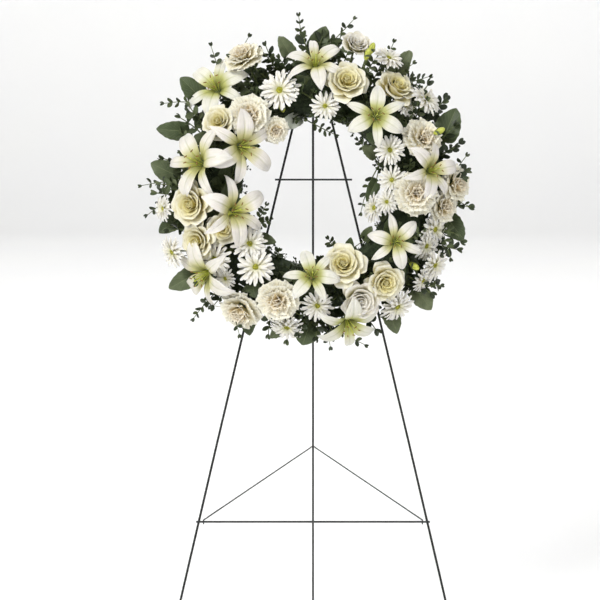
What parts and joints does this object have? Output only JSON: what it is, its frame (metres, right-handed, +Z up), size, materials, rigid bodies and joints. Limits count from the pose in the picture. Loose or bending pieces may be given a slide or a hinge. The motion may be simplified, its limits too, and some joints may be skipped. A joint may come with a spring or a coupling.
{
  "type": "funeral wreath on wire easel",
  "caption": "Round funeral wreath of lilies, roses, carnations and daisy chrysanthemums on a folding three-legged wire easel.",
  "frame": {"origin": "bottom centre of the bounding box, on the floor", "axes": "+Z up, -Y towards the viewer that the flowers face, +X to that viewer's right"},
  "size_m": [0.6524, 0.6398, 1.3659],
  "materials": {
    "leg_wire": "satin dark green-black enamel",
    "cross_wire": "satin dark grey enamel",
    "pin_wire": "plain drawn wire",
    "tray_plastic": "moulded, matte",
    "foam": "soaked flower foam, matte",
    "lily_petal": "soft, slightly waxy petal",
    "rose_petal": "velvety cream-yellow petal",
    "carnation_petal": "dry frilled petal",
    "mum_petal": "matte petal",
    "leaf": "satin leaf"
  },
  "bodies": {
    "front_frame": {"front_leg_left": "leg_wire", "front_leg_right": "leg_wire", "pivot_bar": "cross_wire", "upper_cross_wire": "cross_wire", "lower_cross_wire": "cross_wire", "tray_ring": "tray_plastic", "foam_ring": "foam", "tie_pin_1": "pin_wire", "tie_pin_2": "pin_wire", "tie_pin_3": "pin_wire", "lily_1": "lily_petal", "lily_2": "lily_petal", "lily_3": "lily_petal", "lily_4": "lily_petal", "lily_5": "lily_petal", "lily_6": "lily_petal", "lily_7": "lily_petal", "lily_8": "lily_petal", "lily_9": "lily_petal", "lily_10": "lily_petal", "lily_11": "lily_petal", "rose_1": "rose_petal", "rose_2": "rose_petal", "rose_3": "rose_petal", "rose_4": "rose_petal", "rose_5": "rose_petal", "rose_6": "rose_petal", "rose_7": "rose_petal", "rose_8": "rose_petal", "rose_9": "rose_petal", "rose_10": "rose_petal", "carnation_1": "carnation_petal", "carnation_2": "carnation_petal", "carnation_3": "carnation_petal", "carnation_4": "carnation_petal", "carnation_5": "carnation_petal", "carnation_6": "carnation_petal", "carnation_7": "carnation_petal", "carnation_8": "carnation_petal", "carnation_9": "carnation_petal", "mum_spray_1": "mum_petal", "mum_spray_2": "mum_petal", "mum_spray_3": "mum_petal", "mum_spray_4": "mum_petal", "mum_spray_5": "mum_petal", "mum_spray_6": "mum_petal", "leafy_stem_1": "leaf", "leafy_stem_2": "leaf", "leafy_stem_3": "leaf", "leafy_stem_4": "leaf", "leafy_stem_5": "leaf", "leafy_stem_6": "leaf", "leafy_stem_7": "leaf", "leafy_stem_8": "leaf", "leafy_stem_9": "leaf", "leafy_stem_10": "leaf", "leafy_stem_11": "leaf", "leafy_stem_12": "leaf"},
    "rear_leg": {"rear_leg": "leg_wire"},
    "brace": {"brace_wire": "cross_wire"}
  },
  "joints": [
    {"name": "rear_leg_fold", "type": "hinge", "parent": "front_frame", "child": "rear_leg", "pos_m": [0.00982, -0.09476, 1.26487], "axis": [-1, 0, 0], "range_deg": [0, 26]},
    {"name": "brace_fold", "type": "hinge", "parent": "front_frame", "child": "brace", "pos_m": [0.00982, -0.23216, 0.3649], "axis": [1, 0, 0], "range_deg": [0, 71.5]}
  ],
  "couplings": [
    {"joint": "brace_fold", "follows": "rear_leg_fold", "ratio": 2.75}
  ]
}
